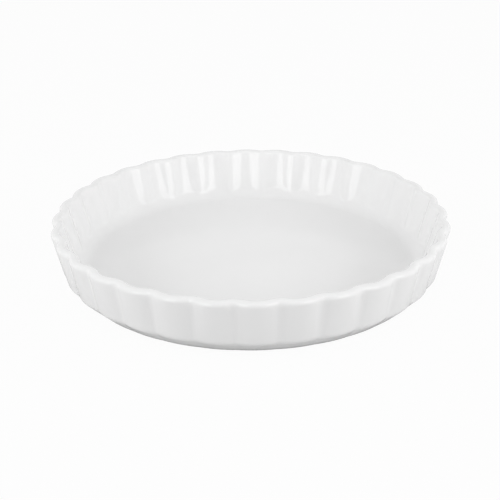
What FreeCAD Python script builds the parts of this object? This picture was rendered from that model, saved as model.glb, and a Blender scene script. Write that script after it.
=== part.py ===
import FreeCAD, Part
import math
import os
from FreeCAD import Vector
from Sketcher import Constraint

# Round porcelain baking dish with a scalloped wall. +Z is up; the origin is on the table, under the centre.
# Lengths are in millimetres and angles in degrees. Unless a note says otherwise they are those of the finished,
# glazed dish.
SIZES = (
    ("dish_diameter", 270.0, "across two opposite lobes at their widest, just under the rim's rounding"),
    ("dish_height", 40.0, "table to the top of the rim"),
    ("flute_count", 32, "lobes round the wall"),
    ("flute_depth", 2.7, "lobe to groove outside, at the rim"),
    ("flute_depth_low", 1.4, "lobe to groove outside, at the knee"),
    ("flute_depth_base", 0.3, "lobe to groove outside, at the underside"),
    ("groove_radius", 8.0, "rounding in the grooves outside"),
    ("wall_thickness", 6.2, "wall at a lobe, at the rim"),
    ("wall_angle", 13.3, "outside of the wall, from the vertical"),
    ("well_angle", 15.8, "inside of the wall, from the vertical"),
    ("well_flute_depth", 2.6, "lobe to ridge inside, at the rim"),
    ("well_flute_depth_low", 1.9, "lobe to ridge inside, at the floor"),
    ("ridge_radius", 17.0, "rounding of the ridges inside"),
    ("rim_round", 2.6, "rounding of both edges of the rim"),
    ("base_diameter", 238.8, "where the bevel meets the underside, across two lobes"),
    ("knee_height", 9.6, "table to the knee, where the wall turns under in a bevel"),
    ("floor_thickness", 5.4, "underside to floor"),
    ("cove_radius", 14.0, "rounding between floor and wall inside"),
    ("run_out", 0.2, "how far the cove passes a lobe where it runs out"),
    ("cove_root", 1.0, "how deep the cove is rooted in the wall"),
    ("glaze_thickness", 0.4, "coat of glaze"),
    ("foot_diameter", 222.0, "outside of the foot ring"),
    ("foot_width", 5.0, "foot ring, outside to inside"),
    ("foot_height", 1.4, "table to the bare porcelain underside"),
    ("foot_round", 0.4, "rounding of the foot ring's lower edges"),
)

doc = FreeCAD.newDocument("QuicheDish")
sheet = doc.addObject("Spreadsheet::Sheet", "Sizes")
for row, (alias, size, note) in enumerate(SIZES, start=1):
    sheet.set("A%d" % row, str(size))
    sheet.setAlias("A%d" % row, alias)
    sheet.set("B%d" % row, note)
doc.recompute()

UP = Vector(0, 0, 1)
COUNT = int(round(sheet.flute_count))
PITCH = 2 * math.pi / COUNT

# The dish has two forms, one inside the other: the finished form, and the porcelain a coat of glaze further in.
# Each is worked out from the same sizes with its own skin, the depth below the finished surface.
FORMULAS = (
    ("rise", "tan(Sizes.wall_angle * 1 deg)"),
    ("well_rise", "tan(Sizes.well_angle * 1 deg)"),
    ("top", "Sizes.dish_height - skin"),
    ("underside", "Sizes.foot_height - Sizes.glaze_thickness + skin"),
    ("floor", "Sizes.foot_height - Sizes.glaze_thickness + Sizes.floor_thickness - skin"),
    ("rim_wall", "Sizes.wall_thickness - Sizes.flute_depth + Sizes.well_flute_depth"),
    ("lip", "min(Sizes.rim_round; 0.48 * rim_wall; 0.48 * Sizes.wall_thickness) - skin"),
    ("lip_loss", "(lip + skin) * ((1 + sin(Sizes.wall_angle * 1 deg)) / cos(Sizes.wall_angle * 1 deg) - 1)"),
    ("rim_radius", "Sizes.dish_diameter / 2 + lip_loss"),
    ("rim_lobe", "rim_radius - skin - rise * skin"),
    ("rim_groove", "rim_lobe - Sizes.flute_depth"),
    ("base_radius", "Sizes.base_diameter / 2"),
    ("base_level", "Sizes.foot_height - Sizes.glaze_thickness"),
    ("knee_radius", "rim_radius - rise * (Sizes.dish_height - Sizes.knee_height)"),
    ("bevel", "(knee_radius - base_radius) / (Sizes.knee_height - base_level)"),
    ("bevel_skin", "skin * sqrt(1 + bevel ^ 2)"),
    ("knee", "Sizes.knee_height + (bevel_skin - skin) / (bevel - rise)"),
    ("knee_lobe", "rim_radius - skin - rise * (Sizes.dish_height - knee)"),
    ("knee_groove", "knee_lobe - Sizes.flute_depth_low"),
    ("base_lobe", "base_radius + bevel * skin - bevel_skin"),
    ("base_groove", "base_lobe - Sizes.flute_depth_base"),
    ("groove", "Sizes.groove_radius + skin"),
    ("well_lobe", "rim_radius - Sizes.wall_thickness + skin - well_rise * skin"),
    ("well_ridge", "well_lobe - Sizes.well_flute_depth"),
    ("floor_lobe", "rim_radius - Sizes.wall_thickness + skin - well_rise * (Sizes.dish_height - floor)"),
    ("floor_ridge", "floor_lobe - Sizes.well_flute_depth_low"),
    ("ridge", "max(Sizes.ridge_radius - skin; Sizes.ridge_radius / 4)"),
    ("cove", "Sizes.cove_radius + skin"),
    ("cove_line", "rim_radius - Sizes.wall_thickness + Sizes.run_out / cos(Sizes.well_angle * 1 deg)"),
    ("cove_line_low", "cove_line - well_rise * Sizes.dish_height"),
    ("floor_level", "base_level + Sizes.floor_thickness"),
    ("cove_centre", "cove_line_low + well_rise * (floor_level + Sizes.cove_radius)"
                    " - Sizes.cove_radius / cos(Sizes.well_angle * 1 deg)"),
)


def work_out(name, skin):
    """The sizes of one form, each bound to the sheet by its formula."""
    form = doc.addObject("App::VarSet", name)
    for key, formula in (("skin", skin),) + FORMULAS:
        form.addProperty("App::PropertyFloat", key, "Form", "")
        form.setExpression(key, formula)
    doc.recompute()
    return form


def plane(body, role):
    return next(f for f in body.Origin.OriginFeatures if f.Role == role)


def new_sketch(body, name, role):
    sketch = body.newObject("Sketcher::SketchObject", name)
    sketch.AttachmentSupport = [(plane(body, role), "")]
    sketch.MapMode = "FlatFace"
    return sketch


def drive(sketch, form, sizes):
    """Add driving constraints, each named after its size and bound to that value of the form."""
    for name, key, constraint in sizes:
        index = sketch.addConstraint(constraint)
        sketch.renameConstraint(index, name)
        sketch.setExpression("Constraints." + name, "%s.%s * 1 mm" % (form.Name, key))


def fluted_outline(body, name, form, lobe_key, groove_key, round_key, level_key):
    """A closed outline of wide lobe arcs, tangent to the narrow groove arcs between them."""
    lobe = getattr(form, lobe_key)
    root = getattr(form, groove_key)
    groove_r = getattr(form, round_key)
    half = PITCH / 2
    groove_c = root + groove_r
    reach = lobe ** 2 + groove_c ** 2 - 2 * lobe * groove_c * math.cos(half) - groove_r ** 2
    lobe_r = reach / (2 * (lobe - groove_c * math.cos(half) + groove_r))
    lobe_c = lobe - lobe_r
    swing = math.atan2(groove_c * math.sin(half), groove_c * math.cos(half) - lobe_c)
    join = math.hypot(lobe_c + lobe_r * math.cos(swing), lobe_r * math.sin(swing))

    sketch = new_sketch(body, name, "XY_Plane")
    sketch.setExpression(".AttachmentOffset.Base.z", "%s.%s * 1 mm" % (form.Name, level_key))
    arcs = []
    for k in range(COUNT):
        a = k * PITCH
        b = a + half
        lobe_at = Vector(lobe_c * math.cos(a), lobe_c * math.sin(a), 0)
        groove_at = Vector(groove_c * math.cos(b), groove_c * math.sin(b), 0)
        turn = swing - half
        arcs.append(Part.ArcOfCircle(Part.Circle(lobe_at, UP, lobe_r), a - swing, a + swing))
        arcs.append(Part.ArcOfCircle(Part.Circle(groove_at, UP, groove_r), b + math.pi - turn, b + math.pi + turn))
    sketch.addGeometry(arcs, False)
    rings = [Part.Circle(Vector(0, 0, 0), UP, r) for r in (lobe, root, lobe_c, groove_c, join)]
    sketch.addGeometry(rings, True)
    tips, roots, lobe_ring, groove_ring, join_ring = range(2 * COUNT, 2 * COUNT + 5)

    rules = [Constraint("Coincident", ring, 3, -1, 1) for ring in (tips, roots, lobe_ring, groove_ring, join_ring)]
    for k in range(COUNT):
        this, gap, after = 2 * k, 2 * k + 1, (2 * k + 2) % (2 * COUNT)
        rules.append(Constraint("Coincident" if k else "Tangent", this, 2, gap, 2))
        rules.append(Constraint("Coincident", gap, 1, after, 1))
        rules.append(Constraint("PointOnObject", this, 1, join_ring))
        rules.append(Constraint("PointOnObject", this, 2, join_ring))
        rules.append(Constraint("PointOnObject", this, 3, lobe_ring))
        rules.append(Constraint("PointOnObject", gap, 3, groove_ring))
        if k:
            rules.append(Constraint("Equal", 0, this))
            rules.append(Constraint("Equal", 1, gap))
    rules.append(Constraint("PointOnObject", 0, 3, -1))
    rules.append(Constraint("Tangent", tips, 0))
    rules.append(Constraint("Tangent", roots, 1))
    sketch.addConstraint(rules)
    drive(sketch, form, (
        ("Lobe", lobe_key, Constraint("Radius", tips, lobe)),
        ("Groove", groove_key, Constraint("Radius", roots, root)),
        ("Rounding", round_key, Constraint("Radius", 1, groove_r)),
    ))
    return sketch


def cove_section(body, name, form):
    """The rounded corner that fills in between the floor and the foot of the well's wall."""
    tilt = math.radians(sheet.well_angle)
    centre = Vector(form.cove_centre, form.floor_level + sheet.cove_radius, 0)
    outward = Vector(math.cos(tilt), -math.sin(tilt), 0)
    end = centre + outward * sheet.cove_radius
    own_end = centre + outward * form.cove
    rooted = own_end + Vector(sheet.cove_root, 0, 0)
    toe = Vector(centre.x, form.floor, 0)
    heel = Vector(rooted.x - (rooted.y - form.floor) * math.tan(tilt), form.floor, 0)

    sketch = new_sketch(body, name, "XZ_Plane")
    sketch.addGeometry([
        Part.LineSegment(Vector(form.cove_line_low, 0, 0), Vector(form.cove_line, sheet.dish_height, 0)),
        Part.ArcOfCircle(Part.Circle(centre, UP, sheet.cove_radius), -math.pi / 2, -tilt),
        Part.LineSegment(centre, end),
    ], True)
    sketch.addGeometry([
        Part.ArcOfCircle(Part.Circle(centre, UP, form.cove), -math.pi / 2, -tilt),
        Part.LineSegment(own_end, rooted),
        Part.LineSegment(rooted, heel),
        Part.LineSegment(heel, toe),
    ], False)
    sketch.addConstraint([
        Constraint("Tangent", 1, 2, 0),
        Constraint("Vertical", 1, 3, 1, 1),
        Constraint("Coincident", 2, 1, 1, 3),
        Constraint("Coincident", 2, 2, 1, 2),
        Constraint("Coincident", 3, 3, 1, 3),
        Constraint("Vertical", 3, 3, 3, 1),
        Constraint("PointOnObject", 3, 2, 2),
        Constraint("Coincident", 4, 1, 3, 2),
        Constraint("Coincident", 5, 1, 4, 2),
        Constraint("Coincident", 6, 1, 5, 2),
        Constraint("Coincident", 6, 2, 3, 1),
        Constraint("Horizontal", 4),
        Constraint("Parallel", 5, 0),
        Constraint("Horizontal", 6),
        Constraint("PointOnObject", 0, 1, -1),
    ])
    drive(sketch, form, (
        ("LineLow", "cove_line_low", Constraint("DistanceX", -1, 1, 0, 1, form.cove_line_low)),
        ("LineTop", "cove_line", Constraint("DistanceX", -1, 1, 0, 2, form.cove_line)),
        ("FloorLevel", "floor_level", Constraint("DistanceY", -1, 1, 1, 1, form.floor_level)),
        ("CoveRadius", "cove", Constraint("Radius", 3, form.cove)),
    ))
    for name, alias, constraint in (
        ("LineHeight", "dish_height", Constraint("DistanceY", -1, 1, 0, 2, sheet.dish_height)),
        ("Finished", "cove_radius", Constraint("Radius", 1, sheet.cove_radius)),
        ("Root", "cove_root", Constraint("DistanceX", 4, 1, 4, 2, sheet.cove_root)),
    ):
        index = sketch.addConstraint(constraint)
        sketch.renameConstraint(index, name)
        sketch.setExpression("Constraints." + name, "Sizes.%s * 1 mm" % alias)
    return sketch


def add_loft(body, kind, name, low, *higher):
    loft = body.newObject("PartDesign::" + kind, name)
    loft.Profile = low
    loft.Sections = list(higher)
    loft.Ruled = True
    return loft


def add_turned(body, kind, name, section):
    turned = body.newObject("PartDesign::" + kind, name)
    turned.Profile = section
    turned.ReferenceAxis = (section, ["V_Axis"])
    turned.Angle = 360
    return turned


def volume(feature):
    """The solid's volume so far, with a stop if the last feature did nothing to it."""
    doc.recompute()
    if feature.Shape.isNull() or not feature.Shape.isValid():
        raise RuntimeError("%s has no valid shape" % feature.Name)
    return feature.Shape.Volume


def dish_form(prefix, form):
    """The whole dish down to its underside, a skin below the finished surface."""
    body = doc.addObject("PartDesign::Body", prefix + "Dish")
    base = fluted_outline(body, prefix + "BaseOutline", form, "base_lobe", "base_groove", "groove", "underside")
    knee = fluted_outline(body, prefix + "KneeOutline", form, "knee_lobe", "knee_groove", "groove", "knee")
    rim = fluted_outline(body, prefix + "RimOutline", form, "rim_lobe", "rim_groove", "groove", "top")
    outside = add_loft(body, "AdditiveLoft", prefix + "Outside", base, knee, rim)
    before = volume(outside)
    floor = fluted_outline(body, prefix + "FloorOutline", form, "floor_lobe", "floor_ridge", "ridge", "floor")
    mouth = fluted_outline(body, prefix + "MouthOutline", form, "well_lobe", "well_ridge", "ridge", "top")
    well = add_loft(body, "SubtractiveLoft", prefix + "Well", floor, mouth)
    after = volume(well)
    if after >= before:
        raise RuntimeError("the well cuts nothing")
    cove = add_turned(body, "Revolution", prefix + "Cove", cove_section(body, prefix + "CoveSection", form))
    before = volume(cove)
    if before <= after:
        raise RuntimeError("the cove adds nothing")
    top = max(range(len(cove.Shape.Faces)), key=lambda i: cove.Shape.Faces[i].BoundBox.ZMin)
    lip = body.newObject("PartDesign::Fillet", prefix + "Lip")
    lip.Base = (cove, ["Face%d" % (top + 1)])
    lip.setExpression("Radius", "%s.lip * 1 mm" % form.Name)
    if volume(lip) >= before:
        raise RuntimeError("the rim is not rounded")
    return body


def disc(name, radius, low, height):
    """A flat round blank on the dish's axis."""
    blank = doc.addObject("Part::Cylinder", name)
    blank.setExpression("Radius", "(%s) * 1 mm" % radius)
    blank.setExpression("Height", "(%s) * 1 mm" % height)
    blank.setExpression(".Placement.Base.z", "(%s) * 1 mm" % low)
    return blank


def cut(name, base, tool):
    result = doc.addObject("Part::Cut", name)
    result.Base = base
    result.Tool = tool
    result.Refine = False
    return result


glazed = work_out("Glazed", "0")
bare = work_out("Bare", "Sizes.glaze_thickness")
glazed_dish = dish_form("Glazed", glazed)
bare_dish = dish_form("Bare", bare)

# The flat of the floor, as far as the toe of the cove, and the ring of bevel, cove and fluted wall round it.
floor_disc = disc("FloorDisc", "Bare.cove_centre", "Bare.underside", "Bare.floor - Bare.underside")
floor_disc.Label = "floor_disc"
fluted_wall = cut("FlutedWall", bare_dish, floor_disc)
fluted_wall.Label = "fluted_wall"

# The coat of glaze is what the finished dish has over the bare one. It stops at the foot ring.
foot_blank = disc("FootBlank", "Sizes.foot_diameter / 2", "0", "Sizes.foot_height")
coat = cut("Coat", glazed_dish, bare_dish)
glaze_coat = cut("GlazeCoat", coat, foot_blank)
glaze_coat.Label = "glaze_coat"
base_glaze = disc("BaseGlaze", "Sizes.foot_diameter / 2 - Sizes.foot_width", "Glazed.underside", "Sizes.glaze_thickness")
base_glaze.Label = "base_glaze"

# The bare ring that the dish stands on, with its lower edges rubbed round.
foot_ring = doc.addObject("PartDesign::Body", "FootRing")
foot_ring.Label = "foot_ring"
foot_section = new_sketch(foot_ring, "FootSection", "XZ_Plane")
inner = sheet.foot_diameter / 2 - sheet.foot_width
outer = sheet.foot_diameter / 2
corners = (
    Vector(inner, 0, 0),
    Vector(outer, 0, 0),
    Vector(outer, sheet.foot_height, 0),
    Vector(inner, sheet.foot_height, 0),
)
foot_section.addGeometry([Part.LineSegment(corners[i], corners[(i + 1) % 4]) for i in range(4)], False)
foot_section.addConstraint([Constraint("Coincident", i, 2, (i + 1) % 4, 1) for i in range(4)])
foot_section.addConstraint([Constraint("Horizontal", 0), Constraint("Vertical", 1), Constraint("Horizontal", 2)])
foot_section.addConstraint([Constraint("Vertical", 3), Constraint("PointOnObject", 0, 1, -1)])
for name, formula, constraint in (
    ("Outside", "Sizes.foot_diameter / 2", Constraint("DistanceX", -1, 1, 0, 2, outer)),
    ("Width", "Sizes.foot_width", Constraint("DistanceX", 0, 1, 0, 2, sheet.foot_width)),
    ("Height", "Sizes.foot_height", Constraint("DistanceY", 1, 1, 1, 2, sheet.foot_height)),
):
    index = foot_section.addConstraint(constraint)
    foot_section.renameConstraint(index, name)
    foot_section.setExpression("Constraints." + name, "(%s) * 1 mm" % formula)
foot_turned = add_turned(foot_ring, "Revolution", "FootTurned", foot_section)
volume(foot_turned)
low_face = min(range(len(foot_turned.Shape.Faces)), key=lambda i: foot_turned.Shape.Faces[i].BoundBox.ZMax)
foot_lip = foot_ring.newObject("PartDesign::Fillet", "FootLip")
foot_lip.Base = (foot_turned, ["Face%d" % (low_face + 1)])
foot_lip.setExpression("Radius", "min(Sizes.foot_round; 0.4 * Sizes.foot_width; 0.4 * Sizes.foot_height) * 1 mm")
doc.recompute()

NODES = (foot_ring, floor_disc, fluted_wall, glaze_coat, base_glaze)
for item in doc.Objects:
    if "Invalid" in item.State or "Error" in item.State:
        raise RuntimeError("%s failed: %s" % (item.Label, item.State))
for node in NODES:
    if node.Shape.isNull() or not node.Shape.isValid() or len(node.Shape.Solids) != 1:
        raise RuntimeError("%s is not one valid solid" % node.Label)

os.makedirs("parts", exist_ok=True)
for node in NODES:
    node.Shape.exportStep("parts/%s.step" % node.Label)
    print("%-12s %8.1f cm3  %d faces" % (node.Label, node.Shape.Volume / 1000, len(node.Shape.Faces)))
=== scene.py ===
import math

import bmesh
import bpy
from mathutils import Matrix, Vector


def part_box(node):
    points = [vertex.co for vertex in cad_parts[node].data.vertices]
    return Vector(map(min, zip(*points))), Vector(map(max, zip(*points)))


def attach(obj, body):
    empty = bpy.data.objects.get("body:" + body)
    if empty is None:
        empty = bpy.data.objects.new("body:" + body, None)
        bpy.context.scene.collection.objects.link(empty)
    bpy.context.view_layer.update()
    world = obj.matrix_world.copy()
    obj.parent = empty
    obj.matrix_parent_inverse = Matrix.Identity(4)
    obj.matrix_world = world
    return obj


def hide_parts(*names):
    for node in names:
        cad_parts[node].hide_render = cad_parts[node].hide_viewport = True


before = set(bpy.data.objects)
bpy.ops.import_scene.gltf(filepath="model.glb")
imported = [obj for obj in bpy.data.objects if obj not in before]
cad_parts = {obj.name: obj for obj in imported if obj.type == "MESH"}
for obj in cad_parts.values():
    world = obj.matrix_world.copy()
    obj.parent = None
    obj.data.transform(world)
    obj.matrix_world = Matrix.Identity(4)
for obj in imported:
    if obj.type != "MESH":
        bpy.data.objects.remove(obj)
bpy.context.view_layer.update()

bl_info = {
    "name": "Fluted quiche dish",
    "version": (1, 0, 0),
    "blender": (4, 5, 0),
    "location": "3D View > Sidebar > Quiche Dish",
    "description": "Glazes, finishes and photographs a fluted porcelain quiche dish",
    "category": "Object",
}

COAT_LOW, COAT_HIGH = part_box("glaze_coat")
FOOT_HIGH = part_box("foot_ring")[1]
MM = 0.001

# Rows of faces along each stretch of the dish's section, and columns of faces in half a flute.
BEVEL_ROWS = 6
KNEE_ROWS = 6
WALL_ROWS = 12
LIP_ROWS = 8
COVE_ROWS = 12
HALF_FLUTE = 8
# Rings of the flat floor, in shares of its radius.
FLOOR_RINGS = (0.97, 0.9, 0.6, 0.3, 0.0)
# How strongly the columns crowd towards the groove, where the form turns fastest.
CROWDING = 1.8
# Points closer than this are one, and edges flatter than this are shaded smooth.
MERGE = 0.005 * MM
SMOOTH = math.radians(50)

# The table's size, and how far it lies below the foot so that the two faces aren't in one plane.
TABLE_SIZE = 8.0
TABLE_DROP = 0.02 * MM
# How white the camera sees the table, and how white mirrored rays see it beyond a ring of painted shade
# round the dish.
WHITE_TO_CAMERA = 0.95
WHITE_TO_MIRRORS = 0.55
# Where, from the dish's axis, that painted shade begins to clear and where it has cleared; the ring is set
# by distance alone, not by the dish's shadow.
PAINTED_SHADE_INNER = 125 * MM
PAINTED_SHADE_OUTER = 155 * MM
SENSOR_WIDTH = 36.0

# Soft boxes: name, place, width, height, power and what they do. Mirrored ones only show, as the strips in
# the flutes, and lighting ones only light.
LAMPS = (
    ("left_box", (-0.763, -0.926, 0.21), 0.69, 0.36, 1.35, "mirrored"),
    ("right_box", (0.811, -0.885, 0.21), 0.69, 0.36, 1.35, "mirrored"),
    ("left_upper_box", (-0.661, -0.802, 0.62), 0.69, 0.50, 1.5, "both"),
    ("right_upper_box", (0.702, -0.766, 0.62), 0.69, 0.50, 2.05, "both"),
    ("left_fill", (-1.096, -0.193, 0.47), 0.70, 0.40, 3.7, "lighting"),
    ("right_fill", (1.096, -0.193, 0.47), 0.70, 0.40, 3.4, "lighting"),
)


class DishSizes(bpy.types.PropertyGroup):
    """The glazed dish's own sizes. Its width, height and foot come from the frame."""

    flutes: bpy.props.IntProperty(
        name="Flutes", description="Lobes round the wall", default=32, min=8)
    flute_depth: bpy.props.FloatProperty(
        name="Flute depth", description="Lobe to groove outside, at the rim",
        default=2.7 * MM, unit="LENGTH")
    flute_depth_low: bpy.props.FloatProperty(
        name="Flute depth, knee", description="Lobe to groove outside, at the knee",
        default=1.4 * MM, unit="LENGTH")
    flute_depth_base: bpy.props.FloatProperty(
        name="Flute depth, base", description="Lobe to groove outside, at the underside",
        default=0.3 * MM, unit="LENGTH")
    knee_height: bpy.props.FloatProperty(
        name="Knee", description="Level at which the wall turns under towards the foot",
        default=9.6 * MM, unit="LENGTH")
    knee_melt: bpy.props.FloatProperty(
        name="Knee melt", description="How wide the glaze melts over the knee",
        default=1.2 * MM, unit="LENGTH")
    groove_round: bpy.props.FloatProperty(
        name="Groove rounding", description="Rounding in the grooves outside",
        default=8.0 * MM, unit="LENGTH")
    wall_thickness: bpy.props.FloatProperty(
        name="Wall", description="Wall at a lobe, at the rim", default=6.2 * MM, unit="LENGTH")
    wall_angle: bpy.props.FloatProperty(
        name="Wall slope", description="Outside of the wall, from the vertical",
        default=math.radians(13.3), subtype="ANGLE")
    well_angle: bpy.props.FloatProperty(
        name="Well slope", description="Inside of the wall, from the vertical",
        default=math.radians(15.8), subtype="ANGLE")
    well_flute_depth: bpy.props.FloatProperty(
        name="Well flute depth", description="Lobe to ridge inside, at the rim",
        default=2.6 * MM, unit="LENGTH")
    well_flute_depth_low: bpy.props.FloatProperty(
        name="Well flute depth, low", description="Lobe to ridge inside, at the floor",
        default=1.9 * MM, unit="LENGTH")
    ridge_round: bpy.props.FloatProperty(
        name="Ridge rounding", description="Rounding of the ridges inside",
        default=17.0 * MM, unit="LENGTH")
    rim_round: bpy.props.FloatProperty(
        name="Rim rounding", description="Rounding of both edges of the rim",
        default=2.6 * MM, unit="LENGTH")
    base_radius: bpy.props.FloatProperty(
        name="Base radius", description="Where the bevel meets the underside",
        default=119.4 * MM, unit="LENGTH")
    floor_thickness: bpy.props.FloatProperty(
        name="Floor", description="Underside to floor", default=5.4 * MM, unit="LENGTH")
    cove_radius: bpy.props.FloatProperty(
        name="Cove rounding", description="Rounding between floor and wall inside",
        default=14.0 * MM, unit="LENGTH")
    run_out: bpy.props.FloatProperty(
        name="Run-out", description="How far the cove passes a lobe where it runs out",
        default=0.2 * MM, unit="LENGTH")
    run_out_bow: bpy.props.FloatProperty(
        name="Run-out bow", description="Radius in which the cove leaves the wall above its end",
        default=60.0 * MM, unit="LENGTH")
    melt: bpy.props.FloatProperty(
        name="Cove melt", description="How wide the glaze melts over the edge of the cove",
        default=1.2 * MM, unit="LENGTH")
    glaze: bpy.props.FloatProperty(
        name="Glaze", description="Thickness of the coat of glaze", default=0.4 * MM, unit="LENGTH")


class DishFinish(bpy.types.PropertyGroup):
    """Colours and gloss."""

    glaze_colour: bpy.props.FloatVectorProperty(
        name="Glaze", description="Colour of the glaze", subtype="COLOR",
        default=(0.90, 0.90, 0.90), min=0.0, max=1.0)
    glaze_roughness: bpy.props.FloatProperty(
        name="Glaze roughness", description="How blurred the glaze's reflections are",
        default=0.07, min=0.0, max=1.0, subtype="FACTOR")
    porcelain_colour: bpy.props.FloatVectorProperty(
        name="Bare porcelain", description="Colour of the unglazed porcelain", subtype="COLOR",
        default=(0.80, 0.79, 0.76), min=0.0, max=1.0)
    porcelain_roughness: bpy.props.FloatProperty(
        name="Porcelain roughness", description="How matt the unglazed porcelain is",
        default=0.62, min=0.0, max=1.0, subtype="FACTOR")


class DishStage(bpy.types.PropertyGroup):
    """Camera, table and lamps."""

    aim_height: bpy.props.FloatProperty(
        name="Aim", description="Height of the point on the dish's axis that the camera looks at",
        default=20.0 * MM, unit="LENGTH")
    distance: bpy.props.FloatProperty(
        name="Distance", description="From the camera to that point", default=0.7425, unit="LENGTH")
    elevation: bpy.props.FloatProperty(
        name="Elevation", description="Camera above the horizon",
        default=math.radians(23.97), subtype="ANGLE")
    azimuth: bpy.props.FloatProperty(
        name="Azimuth", description="Camera round from the front, towards the right",
        default=math.radians(-1.56), subtype="ANGLE")
    roll: bpy.props.FloatProperty(
        name="Roll", description="Turn of the camera about its line of sight",
        default=math.radians(-0.51), subtype="ANGLE")
    lens: bpy.props.FloatProperty(
        name="Lens", description="Focal length on a sensor 36 mm wide", default=77.35)
    shift: bpy.props.FloatVectorProperty(
        name="Shift", description="Shift of the picture, in widths of it", size=2,
        default=(-0.0011, -0.0199))
    table_colour: bpy.props.FloatVectorProperty(
        name="Table", description="Colour of the table", subtype="COLOR",
        default=(0.70, 0.70, 0.70), min=0.0, max=1.0)
    surround: bpy.props.FloatProperty(
        name="Surround", description="Light from the white room", default=0.605, min=0.0)


def section(sizes):
    """The finished dish's section, worked out from its sizes: levels, lines and centres."""
    rise = math.tan(sizes.wall_angle)
    well_rise = math.tan(sizes.well_angle)
    top = COAT_HIGH.z
    under = COAT_LOW.z
    floor = under + sizes.floor_thickness
    rim_round = sizes.rim_round
    lip_set = rim_round * (1 + math.sin(sizes.wall_angle)) / math.cos(sizes.wall_angle)
    well_lip_set = rim_round * (1 - math.sin(sizes.well_angle)) / math.cos(sizes.well_angle)
    rim = COAT_HIGH.x + lip_set - rim_round
    mouth = rim - sizes.wall_thickness

    cove_line = mouth + sizes.run_out / math.cos(sizes.well_angle)
    cove = Vector((0.0, floor + sizes.cove_radius))
    cove.x = cove_line - well_rise * (top - cove.y) - sizes.cove_radius / math.cos(sizes.well_angle)
    return {
        "rise": rise, "well_rise": well_rise, "top": top, "under": under, "floor": floor,
        "lip_set": lip_set, "well_lip_set": well_lip_set, "rim": rim, "mouth": mouth,
        "cove_line": cove_line, "cove": cove,
    }


def flute_radius(turn, flutes, lobe, groove, rounding):
    """Radius, at an angle from a lobe's middle, of a ring of lobe arcs tangent to rounded grooves."""
    half = math.pi / flutes
    hollow = groove + rounding
    reach = lobe ** 2 + hollow ** 2 - 2 * lobe * hollow * math.cos(half) - rounding ** 2
    arc = reach / (2 * (lobe - hollow * math.cos(half) + rounding))
    centre = lobe - arc
    swing = math.atan2(hollow * math.sin(half), hollow * math.cos(half) - centre)
    join = math.atan2(arc * math.sin(swing), centre + arc * math.cos(swing))
    turn = abs(turn)
    if turn <= join:
        return centre * math.cos(turn) + math.sqrt(arc ** 2 - (centre * math.sin(turn)) ** 2)
    rest = half - turn
    return hollow * math.cos(rest) - math.sqrt(rounding ** 2 - (hollow * math.sin(rest)) ** 2)


def melted(one, other, width):
    """The smaller of two radii, with the edge where they meet melted over that width."""
    overlap = max(width - abs(one - other), 0.0) / width
    return min(one, other) - overlap ** 2 * width / 4


def steps(start, end, count):
    """Evenly spaced values after the start, up to the end."""
    return [start + (end - start) * (i + 1) / count for i in range(count)]


def between(level, points):
    """A value along a line through (level, value) points, from the lowest up."""
    for (low, start), (high, end) in zip(points, points[1:]):
        if level <= high:
            break
    return start + (end - start) * (level - low) / (high - low)


def wall_radius(turn, level, sizes, cut):
    """Outside of the dish below the rim's rounding: the fluted wall and the bevel under its knee."""
    knee = sizes.knee_height
    knee_radius = cut["rim"] - cut["rise"] * (cut["top"] - knee)
    bevel = (knee_radius - sizes.base_radius) / (knee - cut["under"])
    wall = cut["rim"] - cut["rise"] * (cut["top"] - level)
    lobe = melted(wall, knee_radius - bevel * (knee - level), sizes.knee_melt)
    depth = between(level, (
        (cut["under"], sizes.flute_depth_base),
        (knee, sizes.flute_depth_low),
        (cut["top"], sizes.flute_depth),
    ))
    return flute_radius(turn, sizes.flutes, lobe, lobe - depth, sizes.groove_round)


def well_radius(turn, level, sizes, cut):
    """Inside of the dish below the rim's rounding: the scalloped well, filled in by the cove."""
    down = cut["top"] - level
    share = down / (cut["top"] - cut["floor"])
    lobe = cut["mouth"] - cut["well_rise"] * down
    depth = sizes.well_flute_depth + (sizes.well_flute_depth_low - sizes.well_flute_depth) * share
    scalloped = flute_radius(turn, sizes.flutes, lobe, lobe - depth, sizes.ridge_round)
    cove = cut["cove"]
    end = cove.y - sizes.cove_radius * math.sin(sizes.well_angle)
    if level > end:
        bow = (level - end) ** 2 / (2 * sizes.run_out_bow)
        turned = cut["cove_line"] - cut["well_rise"] * down + bow
    else:
        turned = cove.x + math.sqrt(max(sizes.cove_radius ** 2 - (cove.y - level) ** 2, 0.0))
    return melted(scalloped, turned, sizes.melt)


def lip_radius(turn, angle, sizes, cut):
    """Outer half of the rim: the fluted outline drawn in round the lip."""
    inset = cut["lip_set"] - sizes.rim_round * math.cos(angle)
    first = cut["lip_set"] - sizes.rim_round * math.cos(sizes.wall_angle)
    lobe = cut["rim"] - inset
    groove = sizes.groove_round + inset - first
    return flute_radius(turn, sizes.flutes, lobe, lobe - sizes.flute_depth, groove)


def well_lip_radius(turn, angle, sizes, cut):
    """Inner half of the rim: the scalloped outline let out round the lip."""
    outset = cut["well_lip_set"] + sizes.rim_round * math.cos(angle)
    last = cut["well_lip_set"] - sizes.rim_round * math.cos(sizes.well_angle)
    lobe = cut["mouth"] + outset
    ridge = sizes.ridge_round - outset + last
    return flute_radius(turn, sizes.flutes, lobe, lobe - sizes.well_flute_depth, ridge)


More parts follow.
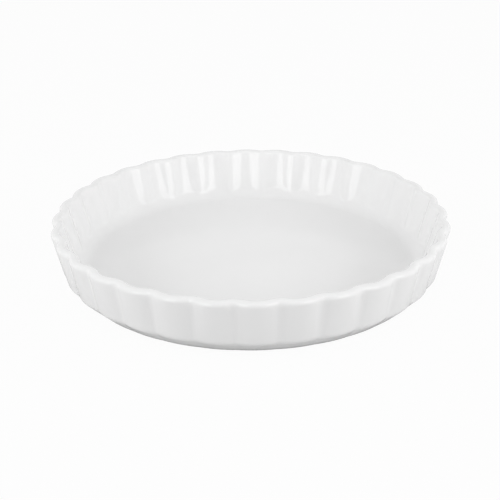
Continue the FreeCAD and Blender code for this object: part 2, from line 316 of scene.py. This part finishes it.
def rings(sizes, cut):
    """Level and radius of each row of the glazed skin, from the foot round the wall to mid floor."""
    made = []
    top = cut["top"] - sizes.rim_round
    knee = sizes.knee_height
    lip_start = top - sizes.rim_round * math.sin(sizes.wall_angle)
    turn_under = knee - 2 * sizes.knee_melt
    turn_up = knee + 2 * sizes.knee_melt
    outside = [cut["under"]] + steps(cut["under"], turn_under, BEVEL_ROWS)
    outside += steps(turn_under, turn_up, KNEE_ROWS) + steps(turn_up, lip_start, WALL_ROWS)
    for level in outside:
        made.append((level, lambda turn, level=level: wall_radius(turn, level, sizes, cut)))
    for angle in steps(-sizes.wall_angle, math.pi / 2, LIP_ROWS):
        level = top + sizes.rim_round * math.sin(angle)
        made.append((level, lambda turn, angle=angle: lip_radius(turn, angle, sizes, cut)))
    for angle in [math.pi / 2] + steps(math.pi / 2, math.pi - sizes.well_angle, LIP_ROWS):
        level = top + sizes.rim_round * math.sin(angle)
        made.append((level, lambda turn, angle=angle: well_lip_radius(turn, angle, sizes, cut)))
    cove = cut["cove"]
    lip_end = level
    cove_end = cove.y - sizes.cove_radius * math.sin(sizes.well_angle)
    for level in steps(lip_end, cove_end, WALL_ROWS):
        made.append((level, lambda turn, level=level: well_radius(turn, level, sizes, cut)))
    for angle in steps(-sizes.well_angle, -math.pi / 2, COVE_ROWS):
        level = cove.y + sizes.cove_radius * math.sin(angle)
        made.append((level, lambda turn, level=level: well_radius(turn, level, sizes, cut)))
    for share in FLOOR_RINGS:
        made.append((cut["floor"], lambda turn, share=share: share * cove.x))
    return made


def deselect_all():
    """Select nothing, in edit mode or out of it."""
    if bpy.context.object and bpy.context.object.mode == "EDIT":
        bpy.ops.mesh.select_all(action="DESELECT")
    else:
        bpy.ops.object.select_all(action="DESELECT")


def turn_of(point):
    """A vertex's angle about the dish's axis, from +X."""
    return math.atan2(point.co.y, point.co.x)


def select_points(mesh, wanted):
    """Select just these vertices of the mesh in edit mode, with the edges between them."""
    for point in mesh.verts:
        point.select = False
    for edge in mesh.edges:
        edge.select = False
    for face in mesh.faces:
        face.select = False
    for point in wanted:
        point.select = True
    mesh.select_flush(True)


def scale_columns(data, level, radius_at):
    """Bring each selected column, one flute's width of them, to its radius about the dish's axis."""
    mesh = bmesh.from_edit_mesh(data)
    row = sorted((point for point in mesh.verts if point.select), key=turn_of)
    for column in range(HALF_FLUTE + 1):
        pair = {row[HALF_FLUTE - column], row[HALF_FLUTE + column]}
        select_points(mesh, pair)
        point = row[HALF_FLUTE + column]
        scale = radius_at(turn_of(point)) / point.co.xy.length
        bpy.ops.transform.resize(value=(scale, scale, 1.0), center_override=(0.0, 0.0, level))
    select_points(mesh, row)


def crowd_columns(data, flutes):
    """Turn the columns of the first row towards the grooves."""
    mesh = bmesh.from_edit_mesh(data)
    row = sorted((point for point in mesh.verts if point.select), key=turn_of)
    half = math.pi / flutes
    for column in range(1, HALF_FLUTE):
        share = 1 - (1 - column / HALF_FLUTE) ** CROWDING
        shift = half * (share - column / HALF_FLUTE)
        for side in (-1, 1):
            select_points(mesh, {row[HALF_FLUTE + side * column]})
            # with no window a turn goes the other way round
            bpy.ops.transform.rotate(
                value=-side * shift, orient_axis="Z", center_override=(0.0, 0.0, 0.0))
    select_points(mesh, row)


def finished(piece, name, slot, material, *nodes):
    """Name a piece, give it its finish and let it stand for CAD nodes on the one body."""
    piece.name = name
    piece.data.name = name
    piece.data.materials.clear()
    piece.data.materials.append(material)
    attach(piece, "root")
    if nodes:
        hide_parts(*nodes)


def new_material(name):
    """An empty procedural material with its shader, ready to be set."""
    material = bpy.data.materials.new(name)
    material.use_nodes = True
    shader = material.node_tree.nodes["Principled BSDF"]
    return material, material.node_tree, shader


def object_noise(tree, scale, detail):
    """Noise that is fixed to the piece."""
    place = tree.nodes.new("ShaderNodeTexCoord")
    noise = tree.nodes.new("ShaderNodeTexNoise")
    noise.inputs["Scale"].default_value = scale
    noise.inputs["Detail"].default_value = detail
    tree.links.new(place.outputs["Object"], noise.inputs["Vector"])
    return noise


def mottle(tree, shader, noise, colour, darkest):
    """Let noise vary a shader's colour a little, down to a share of it."""
    ramp = tree.nodes.new("ShaderNodeValToRGB")
    dark, full = ramp.color_ramp.elements
    dark.position = 0.3
    dark.color = (*(darkest * part for part in colour), 1.0)
    full.position = 0.7
    full.color = (*colour, 1.0)
    tree.links.new(noise.outputs["Fac"], ramp.inputs["Fac"])
    tree.links.new(ramp.outputs["Color"], shader.inputs["Base Color"])


def roughen(tree, shader, noise, strength, height):
    """Let noise raise and lower a shader's surface."""
    bump = tree.nodes.new("ShaderNodeBump")
    bump.inputs["Strength"].default_value = strength
    bump.inputs["Distance"].default_value = height
    tree.links.new(noise.outputs["Fac"], bump.inputs["Height"])
    tree.links.new(bump.outputs["Normal"], shader.inputs["Normal"])


def glaze_material(finish):
    """Glossy white glaze, with the faint unevenness that it has from the kiln."""
    material, tree, shader = new_material("white_glaze")
    shader.inputs["IOR"].default_value = 1.52
    # it lies a little thicker here and there, where it is whiter and less sharp
    pools = object_noise(tree, scale=24.0, detail=2.0)
    mottle(tree, shader, pools, finish.glaze_colour, darkest=0.985)
    gloss = tree.nodes.new("ShaderNodeMapRange")
    gloss.inputs["To Min"].default_value = 0.85 * finish.glaze_roughness
    gloss.inputs["To Max"].default_value = 1.15 * finish.glaze_roughness
    tree.links.new(pools.outputs["Fac"], gloss.inputs["Value"])
    tree.links.new(gloss.outputs["Result"], shader.inputs["Roughness"])
    roughen(tree, shader, object_noise(tree, scale=70.0, detail=1.0), strength=0.12, height=0.05 * MM)
    return material


def porcelain_material(finish):
    """Bare fired porcelain: matt, a little warmer than the glaze, with a fine grain."""
    material, tree, shader = new_material("bare_porcelain")
    shader.inputs["Roughness"].default_value = finish.porcelain_roughness
    mottle(tree, shader, object_noise(tree, scale=160.0, detail=4.0), finish.porcelain_colour, darkest=0.95)
    roughen(tree, shader, object_noise(tree, scale=2500.0, detail=2.0), strength=0.25, height=0.03 * MM)
    return material


class DISH_OT_glaze_coat(bpy.types.Operator):
    """Model the glazed skin of the dish, one flute of it repeated round the axis"""

    bl_idname = "dish.glaze_coat"
    bl_label = "Glaze coat"

    def execute(self, context):
        sizes = context.scene.dish_sizes
        cut = section(sizes)
        columns = 2 * HALF_FLUTE * sizes.flutes
        deselect_all()
        bpy.ops.mesh.primitive_circle_add(
            vertices=columns, radius=FOOT_HIGH.x, fill_type="NOTHING", location=(0.0, 0.0, 0.0))
        coat = context.object
        bpy.ops.object.mode_set(mode="EDIT")
        bpy.ops.transform.translate(value=(0.0, 0.0, cut["under"]))

        # one flute's stretch of the circle is kept, about the lobe on +X, with the points in its grooves
        mesh = bmesh.from_edit_mesh(coat.data)
        reach = math.pi / sizes.flutes * (1 + 0.25 / HALF_FLUTE)
        select_points(mesh, [point for point in mesh.verts if abs(turn_of(point)) > reach])
        bpy.ops.mesh.delete(type="VERT")
        bpy.ops.mesh.select_all(action="SELECT")
        crowd_columns(coat.data, sizes.flutes)

        # the skin is drawn out row by row, round the bevel, wall, rim, well and cove
        level = cut["under"]
        for next_level, radius_at in rings(sizes, cut):
            bpy.ops.mesh.extrude_edges_move(
                TRANSFORM_OT_translate={"value": (0.0, 0.0, next_level - level)})
            level = next_level
            scale_columns(coat.data, level, radius_at)

        bpy.ops.mesh.select_all(action="SELECT")
        bpy.ops.mesh.spin(
            steps=sizes.flutes - 1, dupli=True, angle=2 * math.pi * (1 - 1 / sizes.flutes),
            center=(0.0, 0.0, 0.0), axis=(0.0, 0.0, 1.0))
        bpy.ops.mesh.select_all(action="SELECT")
        bpy.ops.mesh.remove_doubles(threshold=MERGE)
        bpy.ops.mesh.normals_make_consistent(inside=False)
        bpy.ops.object.mode_set(mode="OBJECT")

        skin = coat.modifiers.new("Skin", "SOLIDIFY")
        skin.thickness = sizes.glaze
        skin.offset = -1.0
        bpy.ops.object.modifier_apply(modifier=skin.name)
        bpy.ops.object.shade_smooth_by_angle(angle=SMOOTH)
        finished(coat, "glaze_skin", "glaze", bpy.data.materials["white_glaze"], "glaze_coat")
        return {"FINISHED"}


class DISH_OT_finishes(bpy.types.Operator):
    """Make the glaze and the bare porcelain, and put them on the CAD pieces that stay"""

    bl_idname = "dish.finishes"
    bl_label = "Finishes"

    def execute(self, context):
        finish = context.scene.dish_finish
        glaze = glaze_material(finish)
        porcelain = porcelain_material(finish)
        for name, material in (
            ("foot_ring", porcelain),
            ("floor_disc", porcelain),
            ("fluted_wall", porcelain),
            ("base_glaze", glaze),
        ):
            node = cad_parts[name]
            node.data.materials.clear()
            node.data.materials.append(material)
        return {"FINISHED"}


def aim(thing, target):
    """Turn a lamp or camera to look at a point."""
    thing.rotation_euler = (Vector(target) - thing.location).to_track_quat("-Z", "Y").to_euler()


def add_lamp(name, place, target, width, height, power):
    """A soft box: a rectangular lamp that faces a point."""
    deselect_all()
    bpy.ops.object.light_add(type="AREA", location=place)
    lamp = bpy.context.object
    lamp.name = name
    lamp.data.shape = "RECTANGLE"
    lamp.data.size = width
    lamp.data.size_y = height
    lamp.data.energy = power
    aim(lamp, target)
    return lamp


def white_to_camera(tree, shader, to_camera, to_mirrors=None):
    """Mix plain white into what camera rays, and mirrored or refracted rays, see of a surface.

    The first share is a number. The second is a socket, or all of it if there is none.
    """
    path = tree.nodes.new("ShaderNodeLightPath")
    mirrored = tree.nodes.new("ShaderNodeMath")
    mirrored.operation = "MAXIMUM"
    tree.links.new(path.outputs["Is Glossy Ray"], mirrored.inputs[0])
    tree.links.new(path.outputs["Is Transmission Ray"], mirrored.inputs[1])
    if to_mirrors is not None:
        less = tree.nodes.new("ShaderNodeMath")
        less.operation = "MULTIPLY"
        tree.links.new(mirrored.outputs[0], less.inputs[0])
        tree.links.new(to_mirrors, less.inputs[1])
        mirrored = less
    share = tree.nodes.new("ShaderNodeMath")
    share.operation = "MULTIPLY_ADD"
    share.inputs[1].default_value = to_camera
    tree.links.new(path.outputs["Is Camera Ray"], share.inputs[0])
    tree.links.new(mirrored.outputs[0], share.inputs[2])
    white = tree.nodes.new("ShaderNodeEmission")
    white.inputs["Color"].default_value = (1.0, 1.0, 1.0, 1.0)
    white.inputs["Strength"].default_value = 1.0
    mix = tree.nodes.new("ShaderNodeMixShader")
    tree.links.new(share.outputs[0], mix.inputs["Fac"])
    tree.links.new(shader.outputs[0], mix.inputs[1])
    tree.links.new(white.outputs[0], mix.inputs[2])
    return mix


def table_material(colour):
    """A matt table that the camera sees almost white, though the dish's shadow stays on it."""
    material = bpy.data.materials.new("white_table")
    material.use_nodes = True
    tree = material.node_tree
    tree.nodes.clear()
    out = tree.nodes.new("ShaderNodeOutputMaterial")
    matt = tree.nodes.new("ShaderNodeBsdfDiffuse")
    matt.inputs["Color"].default_value = (*colour, 1.0)
    # mirrors see it white as well, but the white fades out in a ring of painted shade round the dish, set
    # by distance from its axis
    spot = tree.nodes.new("ShaderNodeTexCoord")
    reach = tree.nodes.new("ShaderNodeVectorMath")
    reach.operation = "LENGTH"
    tree.links.new(spot.outputs["Object"], reach.inputs[0])
    # painted shade: close to the dish's axis mirrored rays see none of the white, only the table's own
    # diffuse shade
    clear = tree.nodes.new("ShaderNodeMapRange")
    clear.inputs["From Min"].default_value = PAINTED_SHADE_INNER
    clear.inputs["From Max"].default_value = PAINTED_SHADE_OUTER
    clear.inputs["To Max"].default_value = WHITE_TO_MIRRORS
    tree.links.new(reach.outputs["Value"], clear.inputs["Value"])
    mixed = white_to_camera(tree, matt, WHITE_TO_CAMERA, clear.outputs["Result"])
    tree.links.new(mixed.outputs[0], out.inputs["Surface"])
    return material


def white_room(strength):
    """A room that lights evenly and that the camera and mirrors see as plain white."""
    room = bpy.data.worlds.new("white_room")
    room.use_nodes = True
    tree = room.node_tree
    tree.nodes.clear()
    out = tree.nodes.new("ShaderNodeOutputWorld")
    glow = tree.nodes.new("ShaderNodeBackground")
    glow.inputs["Color"].default_value = (1.0, 1.0, 1.0, 1.0)
    glow.inputs["Strength"].default_value = strength
    mixed = white_to_camera(tree, glow, 1.0)
    tree.links.new(mixed.outputs[0], out.inputs["Surface"])
    return room


class DISH_OT_stage(bpy.types.Operator):
    """Set up the table, the white room, the soft boxes and the camera"""

    bl_idname = "dish.stage"
    bl_label = "Stage"

    def execute(self, context):
        stage = context.scene.dish_stage
        context.scene.view_settings.view_transform = "Standard"

        deselect_all()
        bpy.ops.mesh.primitive_plane_add(size=TABLE_SIZE, location=(0.0, 0.0, -TABLE_DROP))
        table = context.object
        table.name = "table"
        table.data.materials.append(table_material(stage.table_colour))
        context.scene.world = white_room(stage.surround)

        centre = (0.0, 0.0, stage.aim_height)
        for name, place, width, height, power, task in LAMPS:
            # the boxes that only show stand upright
            target = (0.0, 0.0, place[2]) if task == "mirrored" else centre
            lamp = add_lamp(name, place, target, width, height, power)
            lamp.visible_diffuse = task != "mirrored"
            lamp.visible_glossy = task != "lighting"

        bpy.ops.object.camera_add(location=(0.0, 0.0, 0.0))
        camera = context.object
        camera.name = "photo_camera"
        flat = stage.distance * math.cos(stage.elevation)
        camera.location = (
            flat * math.sin(stage.azimuth),
            -flat * math.cos(stage.azimuth),
            stage.aim_height + stage.distance * math.sin(stage.elevation),
        )
        aim(camera, centre)
        camera.rotation_euler.rotate_axis("Z", stage.roll)
        camera.data.sensor_width = SENSOR_WIDTH
        camera.data.lens = stage.lens
        camera.data.shift_x, camera.data.shift_y = stage.shift
        context.scene.camera = camera
        return {"FINISHED"}


class DISH_PT_panel(bpy.types.Panel):
    """Sizes, finishes and steps of the dish"""

    bl_idname = "DISH_PT_panel"
    bl_label = "Quiche dish"
    bl_space_type = "VIEW_3D"
    bl_region_type = "UI"
    bl_category = "Quiche Dish"

    def draw(self, context):
        layout = self.layout
        for group in (context.scene.dish_sizes, context.scene.dish_finish, context.scene.dish_stage):
            box = layout.box()
            for key in group.__annotations__:
                box.prop(group, key)
        for operator in OPERATORS:
            layout.operator(operator.bl_idname)


GROUPS = (
    ("dish_sizes", DishSizes),
    ("dish_finish", DishFinish),
    ("dish_stage", DishStage),
)
OPERATORS = (DISH_OT_finishes, DISH_OT_glaze_coat, DISH_OT_stage)


def register():
    for key, group in GROUPS:
        bpy.utils.register_class(group)
        setattr(bpy.types.Scene, key, bpy.props.PointerProperty(type=group))
    for operator in OPERATORS:
        bpy.utils.register_class(operator)
    bpy.utils.register_class(DISH_PT_panel)


def unregister():
    bpy.utils.unregister_class(DISH_PT_panel)
    for operator in reversed(OPERATORS):
        bpy.utils.unregister_class(operator)
    for key, group in reversed(GROUPS):
        delattr(bpy.types.Scene, key)
        bpy.utils.unregister_class(group)


def main():
    register()
    bpy.ops.dish.finishes()
    bpy.ops.dish.glaze_coat()
    bpy.ops.dish.stage()


if __name__ == "__main__":
    main()
